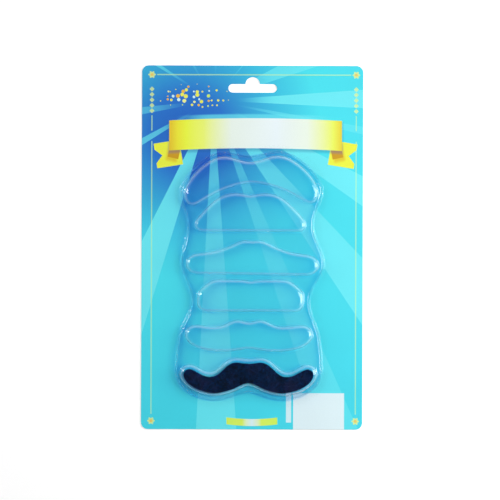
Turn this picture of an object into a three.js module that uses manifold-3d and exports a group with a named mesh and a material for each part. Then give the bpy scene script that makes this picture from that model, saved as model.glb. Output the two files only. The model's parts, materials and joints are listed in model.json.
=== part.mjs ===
// A self-adhesive fake moustache in its blister card: a printed board with a hang slot, a clear formed
// blister with six moustache-shaped cavities, and one plush handlebar moustache lying in the lowest cavity.
// Millimetres. The card lies on its back: +Z is up out of its printed face and +Y runs towards its hang slot.
// The origin is the middle of the card's back face.

import * as THREE from "three";
import { mergeVertices } from "three/addons/utils/BufferGeometryUtils.js";
import Module from "manifold-3d";

const wasm = await Module();
wasm.setup();

// Driving sizes of the card
const CARD_WIDTH = 146;
const CARD_LENGTH = 240;
const CARD_THICKNESS = 0.6;
const CARD_CORNER_RADIUS = 4.5;

// The hang slot is the standard wide one of shop pegs: a flat slot with a round bump over its middle
const SLOT_WIDTH = 32;
const SLOT_ARM_HEIGHT = 5.6;
const SLOT_BUMP_WIDTH = 9.5;
const SLOT_BUMP_RISE = 4.6;
const SLOT_CENTRE_BELOW_TOP = 15;

// Driving sizes of the blister: a flat flange on the card, a low tray, and the cavities that rise from it.
// A draft is how far a wall leans in over its height, so that the formed sheet lets go of its mould.
const BLISTER_WALL = 0.4;
const FLANGE_WIDTH = 4;
const TRAY_RISE = 3.2;
const TRAY_DRAFT = 1.6;
const TRAY_LEDGE = 1.8;
const CAVITY_RISE = 3.8;
const CAVITY_DRAFT = 1.1;
const CAVITY_CLEARANCE = 1.6;

// Driving sizes of the moustache
const PILE_THICKNESS = 3.2;
const PILE_EDGE_ROUNDING = 1.3;
const ADHESIVE_THICKNESS = 0.6;
const ADHESIVE_INSET = 1.6;

// The moustache has slid down inside its cavity until it is this far from the lower wall
const MOUSTACHE_REST_GAP = 0.6;

// Pieces that lie on each other keep this gap
const SEAT_GAP = 0.1;

// How finely the outlines are drawn, and how many times their corners are softened
const POINTS_PER_ROW = 8;
const OUTLINE_STEP = 1.7;
const TRAY_STEP = 3.4;
const OUTLINE_TOLERANCE = 0.04;
const SOFTENING_PASSES = 2;
const CORNER_SEGMENTS = 6;
const CROWN_DEGREES = [0, 30, 60, 90];

// A grown outline keeps the points that stand this share of their distance clear of it
const CLEAR_SHARE = 0.97;

// Corners nearer to each other than this are one
const SAME_CORNER = 1e-4;

// The six outlines, from the top of the card to its foot. x is the middle of each across the card, y its
// middle above the card's foot, and turn its lean in degrees. Each station gives a place along the
// half-width as a share of it, and the outline's top and foot there as shares of its height. A station
// with round: 0 holds a true corner in the top line.
const STYLES = {
  arched: {
    x: -0.8, y: 163.9, width: 83.6, height: 27.6, turn: 1.1,
    stations: [
      { at: 0, top: 0.858, foot: 0.537 },
      { at: 0.12, top: 0.875, foot: 0.522 },
      { at: 0.26, top: 0.945, foot: 0.478 },
      { at: 0.42, top: 1, foot: 0.402 },
      { at: 0.56, top: 0.95, foot: 0.318 },
      { at: 0.7, top: 0.824, foot: 0.207 },
      { at: 0.84, top: 0.635, foot: 0.08 },
      { at: 0.94, top: 0.435, foot: 0 },
      { at: 0.985, top: 0.3, foot: 0.05 },
      { at: 1, top: 0.17, foot: 0.17 },
    ],
  },
  broad: {
    x: -1.3, y: 143.1, width: 70, height: 20.4, turn: 0,
    stations: [
      { at: 0, top: 0.91, foot: 0, round: 0 },
      { at: 0.1, top: 0.955, foot: 0 },
      { at: 0.25, top: 1, foot: 0 },
      { at: 0.42, top: 0.965, foot: 0 },
      { at: 0.55, top: 0.875, foot: 0 },
      { at: 0.7, top: 0.665, foot: 0 },
      { at: 0.85, top: 0.4, foot: 0 },
      { at: 0.97, top: 0.16, foot: 0 },
      { at: 1, top: 0.06, foot: 0.06 },
    ],
  },
  peaked: {
    x: 0.2, y: 113.5, width: 83.2, height: 18, turn: -0.6,
    stations: [
      { at: 0, top: 0.94, foot: 0, round: 0 },
      { at: 0.04, top: 0.965, foot: 0 },
      { at: 0.11, top: 1, foot: 0 },
      { at: 0.2, top: 0.93, foot: 0 },
      { at: 0.3, top: 0.806, foot: 0 },
      { at: 0.45, top: 0.67, foot: 0 },
      { at: 0.6, top: 0.564, foot: 0 },
      { at: 0.78, top: 0.5, foot: 0 },
      { at: 0.9, top: 0.47, foot: 0 },
      { at: 0.97, top: 0.4, foot: 0.07 },
      { at: 1, top: 0.235, foot: 0.235 },
    ],
  },
  clipped: {
    x: -1, y: 88.3, width: 64.8, height: 16, turn: 0,
    stations: [
      { at: 0, top: 0.9, foot: 0, round: 0 },
      { at: 0.12, top: 1, foot: 0, round: 0 },
      { at: 0.75, top: 1, foot: 0, round: 0 },
      { at: 0.985, top: 0.62, foot: 0, round: 0 },
      { at: 1, top: 0.56, foot: 0.05 },
    ],
  },
  winged: {
    x: -1.9, y: 62.2, width: 80.2, height: 16.3, turn: 0,
    stations: [
      { at: 0, top: 0.86, foot: 0.12 },
      { at: 0.08, top: 0.9, foot: 0.095 },
      { at: 0.19, top: 1, foot: 0.045 },
      { at: 0.3, top: 0.87, foot: 0.01 },
      { at: 0.42, top: 0.737, foot: 0 },
      { at: 0.55, top: 0.69, foot: 0.006 },
      { at: 0.7, top: 0.715, foot: 0.05 },
      { at: 0.85, top: 0.765, foot: 0.155 },
      { at: 0.94, top: 0.75, foot: 0.3 },
      { at: 0.985, top: 0.64, foot: 0.415 },
      { at: 1, top: 0.53, foot: 0.53 },
    ],
  },
  handlebar: {
    x: -2.1, y: 35, width: 86.5, height: 20.5, turn: 0,
    stations: [
      { at: 0, top: 0.945, foot: 0.35 },
      { at: 0.08, top: 0.96, foot: 0.3 },
      { at: 0.2, top: 1, foot: 0.17 },
      { at: 0.3, top: 0.92, foot: 0.09 },
      { at: 0.4, top: 0.72, foot: 0.035 },
      { at: 0.5, top: 0.555, foot: 0 },
      { at: 0.6, top: 0.52, foot: 0.02 },
      { at: 0.7, top: 0.575, foot: 0.07 },
      { at: 0.8, top: 0.695, foot: 0.145 },
      { at: 0.9, top: 0.795, foot: 0.28 },
      { at: 0.965, top: 0.745, foot: 0.42 },
      { at: 1, top: 0.6, foot: 0.6 },
    ],
  },
};
const WORN_STYLE = "handlebar";

// Heights and places worked out from the sizes above
const FLANGE_Z = CARD_THICKNESS + SEAT_GAP;
const ADHESIVE_Z = CARD_THICKNESS + SEAT_GAP;
const PILE_Z = ADHESIVE_Z + ADHESIVE_THICKNESS + SEAT_GAP;
const TRAY_TOP_Z = FLANGE_Z + TRAY_RISE;
const CAVITY_TOP_Z = TRAY_TOP_Z + CAVITY_RISE;

const CARD_FOOT_Y = -CARD_LENGTH / 2;

// How far the foot of each wall stands off a moustache
const CAVITY_FOOT_REACH = CAVITY_CLEARANCE + BLISTER_WALL + CAVITY_DRAFT;
const TRAY_FOOT_REACH = CAVITY_FOOT_REACH + TRAY_LEDGE + TRAY_DRAFT;

const point = (x, y) => new THREE.Vector2(x, y);

// A closed line that keeps its corners where a row says round: 0 and is smooth elsewhere.
function smoothLoop(rows) {
  const corners = rows.flatMap((row, i) => (row.round === 0 ? [i] : []));
  if (!corners.length) {
    const curve = new THREE.CatmullRomCurve3(rows.map((r) => new THREE.Vector3(r.x, r.y, 0)), true);
    const points = curve.getPoints(rows.length * POINTS_PER_ROW).slice(0, -1);
    return points.map((p) => point(p.x, p.y));
  }
  const loop = [];
  corners.forEach((from, k) => {
    const to = corners[(k + 1) % corners.length];
    const count = ((to - from + rows.length - 1) % rows.length) + 1;
    const run = Array.from({ length: count + 1 }, (_, i) => rows[(from + i) % rows.length]);
    const curve = new THREE.CatmullRomCurve3(run.map((r) => new THREE.Vector3(r.x, r.y, 0)));
    const points = curve.getPoints(count * POINTS_PER_ROW).slice(0, -1);
    loop.push(...points.map((p) => point(p.x, p.y)));
  });
  return loop;
}

// The loop walked again in even steps.
function evenSteps(loop, step) {
  const lengths = loop.map((p, i) => p.distanceTo(loop[(i + 1) % loop.length]));
  const total = lengths.reduce((a, b) => a + b, 0);
  const count = Math.round(total / step);
  const walked = [];
  let side = 0;
  let before = 0;
  for (let i = 0; i < count; i++) {
    const target = (i * total) / count;
    while (before + lengths[side] < target) {
      before += lengths[side];
      side++;
    }
    const share = (target - before) / lengths[side];
    walked.push(loop[side].clone().lerp(loop[(side + 1) % loop.length], share));
  }
  return walked;
}

// Each pass rounds the corners a little more.
function softened(loop, passes) {
  let soft = loop;
  for (let pass = 0; pass < passes; pass++) {
    soft = soft.map((p, i) => {
      const middle = soft.at(i - 1).clone().lerp(soft[(i + 1) % soft.length], 0.5);
      return p.clone().lerp(middle, 0.5);
    });
  }
  return soft;
}

// Points that lie on the line between their neighbours are left out.
function thinned(loop, tolerance) {
  const kept = [loop[0]];
  for (let i = 1; i < loop.length; i++) {
    const from = kept.at(-1);
    const along = loop[(i + 1) % loop.length].clone().sub(from);
    const passed = loop.slice(loop.indexOf(from) + 1, i + 1);
    const straight = passed.every(
      (p) => Math.abs(along.cross(p.clone().sub(from))) / along.length() < tolerance,
    );
    if (!straight) kept.push(loop[i]);
  }
  return kept;
}

// The loop moved outwards by a distance, or inwards where that is negative, point for point.
function grown(loop, distance) {
  return loop.map((p, i) => {
    const along = loop[(i + 1) % loop.length].clone().sub(loop.at(i - 1)).normalize();
    return p.clone().add(point(along.y, -along.x).multiplyScalar(distance));
  });
}

function distanceToLoop(p, loop) {
  return Math.min(
    ...loop.map((a, i) => {
      const side = loop[(i + 1) % loop.length].clone().sub(a);
      const share = THREE.MathUtils.clamp(p.clone().sub(a).dot(side) / side.lengthSq(), 0, 1);
      return p.distanceTo(a.clone().addScaledVector(side, share));
    }),
  );
}

// A grown loop without the crossings that narrow notches would leave in it: a point that came nearer to
// another stretch of the loop than it was moved is left out.
function grownClean(loop, distance) {
  const clear = grown(loop, distance).filter((p) => distanceToLoop(p, loop) > CLEAR_SHARE * distance);
  return softened(evenSteps(clear, OUTLINE_STEP), 1);
}

// The outline of one moustache style on the card, anticlockwise.
function styleOutline(style) {
  const { stations, width, height } = style;
  const foot = stations.map((s) => ({ x: (s.at * width) / 2, y: (s.foot - 0.5) * height }));
  const top = stations.map((s) => ({ x: (s.at * width) / 2, y: (s.top - 0.5) * height, round: s.round }));
  const tip = stations.at(-1);
  const right = [...foot.slice(0, tip.top === tip.foot ? -1 : undefined), ...top.toReversed()];
  const left = right.slice(1, -1).toReversed().map((p) => ({ ...p, x: -p.x }));
  const loop = softened(evenSteps(smoothLoop([...right, ...left]), OUTLINE_STEP), SOFTENING_PASSES);
  const turn = THREE.MathUtils.degToRad(style.turn);
  return loop.map((p) => p.rotateAround(point(0, 0), turn).add(point(style.x, CARD_FOOT_Y + style.y)));
}

// A closed solid through loops of equal count, each with its height, from the lowest to the highest.
function loft(levels) {
  const count = levels[0].loop.length;
  const positions = levels.flatMap(({ loop, z }) => loop.flatMap((p) => [p.x, p.y, z]));
  const indices = [];
  levels.slice(1).forEach((_, level) => {
    for (let i = 0; i < count; i++) {
      const a = level * count + i;
      const b = level * count + ((i + 1) % count);
      indices.push(a, b, b + count, a, b + count, a + count);
    }
  });
  const last = (levels.length - 1) * count;
  for (const [a, b, c] of THREE.ShapeUtils.triangulateShape(levels[0].loop, [])) indices.push(a, c, b);
  for (const [a, b, c] of THREE.ShapeUtils.triangulateShape(levels.at(-1).loop, [])) {
    indices.push(last + a, last + b, last + c);
  }
  const geometry = new THREE.BufferGeometry();
  geometry.setAttribute("position", new THREE.Float32BufferAttribute(positions, 3));
  geometry.setIndex(indices);
  return geometry;
}

function toSolid(geometry) {
  const bare = geometry.clone();
  bare.deleteAttribute("normal");
  bare.deleteAttribute("uv");
  const merged = mergeVertices(bare, SAME_CORNER);
  return new wasm.Manifold(
    new wasm.Mesh({
      numProp: 3,
      vertProperties: new Float32Array(merged.attributes.position.array),
      triVerts: new Uint32Array(merged.index.array),
    }),
  );
}

function toGeometry(solid) {
  const mesh = solid.getMesh();
  const geometry = new THREE.BufferGeometry();
  geometry.setAttribute("position", new THREE.BufferAttribute(mesh.vertProperties, 3));
  geometry.setIndex(new THREE.BufferAttribute(mesh.triVerts, 1));
  return geometry;
}

function meshOf(name, geometry, material) {
  const mesh = new THREE.Mesh(geometry, material);
  mesh.name = name;
  return mesh;
}

// The board's outline: a rectangle with round corners.
function cardShape() {
  const x = CARD_WIDTH / 2;
  const y = CARD_LENGTH / 2;
  const r = CARD_CORNER_RADIUS;
  const shape = new THREE.Shape();
  shape.moveTo(-x + r, -y);
  shape.absarc(x - r, -y + r, r, -Math.PI / 2, 0);
  shape.absarc(x - r, y - r, r, 0, Math.PI / 2);
  shape.absarc(-x + r, y - r, r, Math.PI / 2, Math.PI);
  shape.absarc(-x + r, -y + r, r, Math.PI, 1.5 * Math.PI);
  return shape;
}

// The hang slot: an arm with round ends to each side of a bump that the peg sits in.
function slotPath() {
  const y = CARD_LENGTH / 2 - SLOT_CENTRE_BELOW_TOP;
  const armRadius = SLOT_ARM_HEIGHT / 2;
  const armEnd = SLOT_WIDTH / 2 - armRadius;
  const bumpRadius = SLOT_BUMP_WIDTH / 2;
  const bumpCentre = y + armRadius + SLOT_BUMP_RISE - bumpRadius;
  const meet = Math.asin((y + armRadius - bumpCentre) / bumpRadius);
  const path = new THREE.Path();
  path.moveTo(-armEnd, y - armRadius);
  path.absarc(armEnd, y, armRadius, -Math.PI / 2, Math.PI / 2);
  path.absarc(0, bumpCentre, bumpRadius, meet, Math.PI - meet);
  path.absarc(-armEnd, y, armRadius, Math.PI / 2, 1.5 * Math.PI);
  return path;
}

function cardGeometry() {
  const shape = cardShape();
  shape.holes.push(slotPath());
  return new THREE.ExtrudeGeometry(shape, {
    depth: CARD_THICKNESS,
    bevelEnabled: false,
    curveSegments: CORNER_SEGMENTS,
  });
}

// The height on the card at which a style is widest.
function tipY(style) {
  const tip = style.stations.at(-1);
  return CARD_FOOT_Y + style.y + ((tip.top + tip.foot) / 2 - 0.5) * style.height;
}

// The tray's outline runs under the lowest style, up past the tips of the others, over the top style and
// down again. Loops are anticlockwise, so each passes its rightmost point before its leftmost one.
function trayOutline() {
  const styles = Object.values(STYLES);
  const around = (style) => grownClean(styleOutline(style), TRAY_FOOT_REACH);
  const farthest = (loop, side) => {
    return loop.reduce((best, p, i) => (side * p.x > side * loop[best].x ? i : best), 0);
  };
  const pastTips = (side) =>
    styles.slice(1, -1).map((style) => {
      return point(style.x + side * (style.width / 2 + TRAY_FOOT_REACH), tipY(style));
    });
  const highest = around(styles[0]);
  const lowest = around(styles.at(-1));
  const outline = [
    ...lowest.slice(farthest(lowest, -1)),
    ...lowest.slice(0, farthest(lowest, 1) + 1),
    ...pastTips(1).toReversed(),
    ...highest.slice(farthest(highest, 1), farthest(highest, -1) + 1),
    ...pastTips(-1),
  ];
  return softened(evenSteps(smoothLoop(outline), TRAY_STEP), SOFTENING_PASSES);
}

// A form that rises from its foot outline with leaning walls, or the hollow that is a wall smaller.
function risenForm(foot, draft, fromZ, toZ, inset) {
  return toSolid(
    loft([
      { loop: grown(foot, -inset), z: fromZ },
      { loop: grown(foot, -inset - draft), z: toZ },
    ]),
  );
}

// The formed sheet is the flange and the risen forms, less the same forms moved in by the wall.
function blisterGeometry() {
  const trayFoot = thinned(trayOutline(), OUTLINE_TOLERANCE);
  const flangeEdge = softened(evenSteps(grown(trayFoot, FLANGE_WIDTH), TRAY_STEP), SOFTENING_PASSES);
  const flange = thinned(flangeEdge, OUTLINE_TOLERANCE);
  const cavityFeet = Object.values(STYLES).map((style) =>
    thinned(grownClean(styleOutline(style), CAVITY_FOOT_REACH), OUTLINE_TOLERANCE),
  );
  const plate = loft([
    { loop: flange, z: FLANGE_Z },
    { loop: flange, z: FLANGE_Z + BLISTER_WALL },
  ]);
  let sheet = toSolid(plate).add(risenForm(trayFoot, TRAY_DRAFT, FLANGE_Z, TRAY_TOP_Z, 0));
  for (const foot of cavityFeet) {
    sheet = sheet.add(risenForm(foot, CAVITY_DRAFT, TRAY_TOP_Z - BLISTER_WALL, CAVITY_TOP_Z, 0));
  }
  const under = FLANGE_Z - BLISTER_WALL;
  const ceiling = TRAY_TOP_Z - BLISTER_WALL;
  sheet = sheet.subtract(risenForm(trayFoot, TRAY_DRAFT, under, ceiling, BLISTER_WALL));
  const hollowTop = CAVITY_TOP_Z - BLISTER_WALL;
  for (const foot of cavityFeet) {
    sheet = sheet.subtract(risenForm(foot, CAVITY_DRAFT, ceiling - BLISTER_WALL, hollowTop, BLISTER_WALL));
  }
  return toGeometry(sheet);
}

// The moustache lies in its cavity, nearer to the lower wall than to the upper one.
function wornOutline() {
  const slide = CAVITY_CLEARANCE - MOUSTACHE_REST_GAP;
  return thinned(styleOutline(STYLES[WORN_STYLE]), OUTLINE_TOLERANCE).map((p) => p.add(point(0, -slide)));
}

// The plush has an upright cut edge and a crown that rounds over at its rim.
function pileGeometry() {
  const outline = wornOutline();
  const top = PILE_Z + PILE_THICKNESS;
  const r = PILE_EDGE_ROUNDING;
  const crown = CROWN_DEGREES.map((degrees) => {
    const angle = THREE.MathUtils.degToRad(degrees);
    return { loop: grown(outline, -r * (1 - Math.cos(angle))), z: top - r * (1 - Math.sin(angle)) };
  });
  return loft([{ loop: outline, z: PILE_Z }, ...crown]);
}

function adhesiveGeometry() {
  const outline = grown(wornOutline(), -ADHESIVE_INSET);
  return loft([
    { loop: outline, z: ADHESIVE_Z },
    { loop: outline, z: ADHESIVE_Z + ADHESIVE_THICKNESS },
  ]);
}

const printedBoard = new THREE.MeshStandardMaterial({ color: 0x43cfe6, roughness: 0.4, metalness: 0 });
const clearPlastic = new THREE.MeshStandardMaterial({
  color: 0xeaf6fa, roughness: 0.08, metalness: 0, transparent: true, opacity: 0.3,
});
const blackPlush = new THREE.MeshStandardMaterial({ color: 0x0b0d18, roughness: 0.95, metalness: 0 });
const tape = new THREE.MeshStandardMaterial({ color: 0xf0ede2, roughness: 0.6, metalness: 0 });

const moustacheOnCard = new THREE.Group();
moustacheOnCard.add(
  meshOf("card", cardGeometry(), printedBoard),
  meshOf("blister", blisterGeometry(), clearPlastic),
  meshOf("moustache_plush", pileGeometry(), blackPlush),
  meshOf("adhesive_strip", adhesiveGeometry(), tape),
);

export default moustacheOnCard;
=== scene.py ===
# %% [markdown]
# A fake moustache on its blister card
#
# The real object is a party item: a handlebar moustache cut from short black plush, with a sticky back,
# lying in a clear formed blister on a printed hanging card. This lesson dresses a fixed frame of plain
# solids: the frame already has every piece at its real size, and we give each one its finished shape and
# its surface. The card lies on its back, +Y runs to its hang slot and +Z comes out of its printed face.

# %% Load the fixed frame
import json
import math

import bmesh
import bpy
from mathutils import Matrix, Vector

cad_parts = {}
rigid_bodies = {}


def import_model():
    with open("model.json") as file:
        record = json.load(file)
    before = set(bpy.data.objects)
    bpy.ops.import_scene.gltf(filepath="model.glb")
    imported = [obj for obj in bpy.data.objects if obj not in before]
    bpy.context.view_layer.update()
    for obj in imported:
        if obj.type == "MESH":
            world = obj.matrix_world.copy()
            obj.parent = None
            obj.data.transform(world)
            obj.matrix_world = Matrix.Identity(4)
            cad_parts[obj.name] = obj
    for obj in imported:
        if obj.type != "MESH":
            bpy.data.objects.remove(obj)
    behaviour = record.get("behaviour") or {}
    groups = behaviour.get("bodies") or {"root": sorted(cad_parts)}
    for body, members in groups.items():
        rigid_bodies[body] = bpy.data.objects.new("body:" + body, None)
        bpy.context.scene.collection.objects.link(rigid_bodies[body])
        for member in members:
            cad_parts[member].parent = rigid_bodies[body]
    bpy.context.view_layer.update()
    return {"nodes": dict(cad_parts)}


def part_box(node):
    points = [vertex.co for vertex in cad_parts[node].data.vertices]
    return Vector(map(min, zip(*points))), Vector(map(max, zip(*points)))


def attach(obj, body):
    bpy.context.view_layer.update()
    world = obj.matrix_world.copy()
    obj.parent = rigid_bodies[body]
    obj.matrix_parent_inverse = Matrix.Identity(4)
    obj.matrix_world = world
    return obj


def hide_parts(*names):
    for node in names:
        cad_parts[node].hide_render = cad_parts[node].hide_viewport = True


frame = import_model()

nodes = frame["nodes"]

# %% [markdown]
# The camera
#
# The photograph looks straight down on the card from far away, so the card's edges are parallel in it. A
# long lens far above the card gives that view. Its picture is 330 mm wide at the card, which is 0.66 mm for
# each of the 500 pixels, and the middle of the picture is a little below and left of the card's middle. The
# card isn't quite square to the picture, so the camera is rolled by a fifth of a degree.

# %% Camera
MM = 0.001
PICTURE_WIDTH = 330 * MM
PICTURE_MIDDLE = Vector((-1.4 * MM, -1.65 * MM, 0))
CAMERA_ROLL = math.radians(0.2)
CAMERA_HEIGHT = 1.6
SENSOR_WIDTH = 36.0


def new_object(name, data):
    """A new object in the scene that shows the data."""
    made = bpy.data.objects.new(name, data)
    bpy.context.scene.collection.objects.link(made)
    return made


camera_data = bpy.data.cameras.new("camera")
camera_data.sensor_width = SENSOR_WIDTH
camera_data.lens = SENSOR_WIDTH * CAMERA_HEIGHT / PICTURE_WIDTH
camera = new_object("camera", camera_data)
camera.location = PICTURE_MIDDLE + Vector((0, 0, CAMERA_HEIGHT))
camera.rotation_euler = (0, 0, CAMERA_ROLL)
bpy.context.scene.camera = camera
print("Lens", round(camera_data.lens, 1), "mm at", CAMERA_HEIGHT, "m")

# %% [markdown]
# Helpers for node graphs
#
# A procedural material is a small graph of nodes, and so are the white room and the planting of the pile.
# The first helpers feed sockets and add a node with its settings and inputs. The others give the output that
# is wanted: a sum, a soft step, a blend of two colours, the normal of a bump. The last starts a material.

# %% Nodes and sums
def feed(tree, socket, value):
    """Links a socket to another one, or sets its value."""
    if isinstance(value, bpy.types.NodeSocket):
        tree.links.new(value, socket)
    else:
        socket.default_value = value


def give(tree, node, values):
    """Feeds several inputs of a node."""
    for name, value in values.items():
        feed(tree, node.inputs[name], value)


def add(tree, kind, inputs=None, **settings):
    """A new node with its settings and inputs."""
    made = tree.nodes.new(kind)
    for name, value in settings.items():
        setattr(made, name, value)
    give(tree, made, inputs or {})
    return made


def sums(tree, operation, *values):
    """The output of a Math node."""
    return add(tree, "ShaderNodeMath", dict(enumerate(values)), operation=operation).outputs[0]


def soft_step(tree, value, low, high, start=0.0, end=1.0):
    """Goes smoothly from start to end as value goes from low to high."""
    inputs = {"Value": value, "From Min": low, "From Max": high, "To Min": start, "To Max": end}
    return add(tree, "ShaderNodeMapRange", inputs, interpolation_type="SMOOTHSTEP").outputs["Result"]


# %% Vectors and places
def vectors(tree, operation, *values, out="Vector"):
    """An output of a Vector Math node."""
    return add(tree, "ShaderNodeVectorMath", dict(enumerate(values)), operation=operation).outputs[out]


def scaled(tree, vector, factor):
    """A vector or colour times a factor."""
    inputs = {0: vector, "Scale": factor}
    return add(tree, "ShaderNodeVectorMath", inputs, operation="SCALE").outputs["Vector"]


def parts_of(tree, vector):
    """The X, Y and Z of a vector."""
    return add(tree, "ShaderNodeSeparateXYZ", {0: vector}).outputs


def flat_length(tree, vector):
    """How long a vector is, seen from straight above."""
    return vectors(tree, "LENGTH", vectors(tree, "MULTIPLY", vector, (1, 1, 0)), out="Value")


def position_in_mm(tree):
    """The place on the object in millimetres, and the direction that its surface faces."""
    coordinates = add(tree, "ShaderNodeTexCoord").outputs
    return scaled(tree, coordinates["Object"], 1 / MM), coordinates["Normal"]


# %% Colours, bumps and shaders
def ink_of(colour):
    """A colour as a socket wants it: a linked one stays as it is, and a plain one is made opaque."""
    return colour if isinstance(colour, bpy.types.NodeSocket) else (*colour, 1)


def blend_colours(tree, factor, under, over):
    """Colour under, covered by colour over as far as factor says."""
    inputs = {0: factor, 6: ink_of(under), 7: ink_of(over)}
    return add(tree, "ShaderNodeMix", inputs, data_type="RGBA").outputs[2]


def bump_of(tree, height, strength, distance):
    """The normal of a surface with small heights on it."""
    inputs = {"Height": height, "Strength": strength, "Distance": distance}
    return add(tree, "ShaderNodeBump", inputs).outputs["Normal"]


def mix_shaders(tree, factor, under, over):
    """Shader under, covered by shader over as far as factor says."""
    return add(tree, "ShaderNodeMixShader", {0: factor, 1: under, 2: over}).outputs[0]


def new_material(name):
    """An empty material with its Principled shader."""
    material = bpy.data.materials.new(name)
    material.use_nodes = True
    return material, material.node_tree, material.node_tree.nodes["Principled BSDF"]


# %% [markdown]
# A group is an effect that can be placed in several materials, each time with its own values. A helper
# starts one with named sockets, and another one places it.

# %% Node groups
def effect(name, inputs, outputs, kind="ShaderNodeTree"):
    """A node group with named sockets, and its inner input and output nodes."""
    group = bpy.data.node_groups.new(name, kind)
    for label, sort in inputs.items():
        group.interface.new_socket(label, in_out="INPUT", socket_type="NodeSocket" + sort)
    for label, sort in outputs.items():
        group.interface.new_socket(label, in_out="OUTPUT", socket_type="NodeSocket" + sort)
    return group, group.nodes.new("NodeGroupInput"), group.nodes.new("NodeGroupOutput")


def place(tree, group, inputs):
    """The outputs of a node group that is placed in a material with its own values."""
    return add(tree, "ShaderNodeGroup", inputs, node_tree=group).outputs


# %% [markdown]
# The light
#
# A catalogue photograph is lit by soft boxes in a white room. A tall box stands close at the right and a
# weaker one at the left: they put the bright marks on the round ends of the cavities, and the right one
# draws soft shadows to the left.

# %% Soft boxes
SOFT_BOXES = [
    {"name": "right_box", "at": (0.52, 0.03, 0.38), "size": (0.34, 0.8), "watts": 5.0},
    {"name": "left_box", "at": (-0.66, 0.20, 0.48), "size": (0.12, 0.6), "watts": 2.1},
]

for box in SOFT_BOXES:
    box_light = bpy.data.lights.new(box["name"], "AREA")
    box_light.shape = "RECTANGLE"
    box_light.size, box_light.size_y = box["size"]
    box_light.energy = box["watts"]
    lamp = new_object(box["name"], box_light)
    lamp.location = box["at"]
    lamp.rotation_euler = (-Vector(box["at"])).to_track_quat("-Z", "Y").to_euler()
print(len(SOFT_BOXES), "soft boxes point at the middle of the card")

# %% [markdown]
# The room is the world's light. It is white all round and brighter beyond the card's top than beyond its
# foot. Straight above the card it is dark, so that the flat plastic doesn't mirror a lamp over the goods.
# The Standard view keeps the saturated cyan of the print, which a film-like view would dull.

# %% White room
ROOM_LIGHT = 0.345
TOP_SHARE = 0.85
CEILING_LIGHT = 0.03
CEILING_STARTS_AT = 0.80
CEILING_FULL_AT = 0.94
LIGHT_BOUNCES = 24

world = bpy.data.worlds.new("white_room")
world.use_nodes = True
room = world.node_tree
looking = parts_of(room, add(room, "ShaderNodeTexCoord").outputs["Generated"])
ceiling = soft_step(room, looking["Z"], CEILING_STARTS_AT, CEILING_FULL_AT, ROOM_LIGHT, CEILING_LIGHT)
top_range = {"Value": looking["Y"], "From Min": -1, "To Min": 1 - TOP_SHARE, "To Max": 1 + TOP_SHARE}
towards_top = add(room, "ShaderNodeMapRange", top_range).outputs["Result"]
glow = {"Color": (1, 1, 1, 1), "Strength": sums(room, "MULTIPLY", towards_top, ceiling)}
give(room, room.nodes["Background"], glow)

scene = bpy.context.scene
scene.world = world
scene.view_settings.view_transform = "Standard"
scene.cycles.use_denoising = True
scene.cycles.max_bounces = LIGHT_BOUNCES
scene.cycles.transmission_bounces = LIGHT_BOUNCES
print("A white room with", scene.cycles.max_bounces, "bounces of light")

# %% [markdown]
# Effects that several finishes share
#
# Print is ink laid in plain shapes. Two groups draw the shapes: a patch with round corners, which also makes
# lines and dots, and a long band that can bow. Both work on a position in millimetres and put out a mask
# with a soft edge, so the same group serves the frame lines, the label and the banner.

# %% Printed patch
MEASURES = ["Centre X", "Centre Y", "Half Width", "Half Height", "Edge"]
PRINT_SOCKETS = {"Position": "Vector", **dict.fromkeys(MEASURES, "Float")}


def edge_mask(tree, distance, edge):
    """One inside an outline and zero outside it, with a soft edge."""
    return soft_step(tree, distance, sums(tree, "MULTIPLY", edge, -1.0), edge, 1.0, 0.0)


def patch_effect():
    """The mask of a rectangle with round corners, turned about its middle."""
    inputs = {**PRINT_SOCKETS, "Corner": "Float", "Turn": "Float"}
    group, start, end = effect("Printed patch", inputs, {"Mask": "Float"})
    given = start.outputs
    centre = add(group, "ShaderNodeCombineXYZ", {"X": given["Centre X"], "Y": given["Centre Y"]}).outputs[0]
    turning = {"Vector": given["Position"], "Center": centre, "Angle": given["Turn"]}
    turned = add(group, "ShaderNodeVectorRotate", turning, rotation_type="Z_AXIS").outputs[0]
    away = parts_of(group, vectors(group, "ABSOLUTE", vectors(group, "SUBTRACT", turned, centre)))
    corner = given["Corner"]
    past_x = sums(group, "ADD", sums(group, "SUBTRACT", away["X"], given["Half Width"]), corner)
    past_y = sums(group, "ADD", sums(group, "SUBTRACT", away["Y"], given["Half Height"]), corner)
    outside = {"X": sums(group, "MAXIMUM", past_x, 0.0), "Y": sums(group, "MAXIMUM", past_y, 0.0)}
    reach = vectors(group, "LENGTH", add(group, "ShaderNodeCombineXYZ", outside).outputs[0], out="Value")
    inside = sums(group, "MINIMUM", sums(group, "MAXIMUM", past_x, past_y), 0.0)
    distance = sums(group, "SUBTRACT", sums(group, "ADD", reach, inside), corner)
    feed(group, end.inputs["Mask"], edge_mask(group, distance, given["Edge"]))
    return group


printed_patch = patch_effect()
print("Effect:", printed_patch.name)

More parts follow.
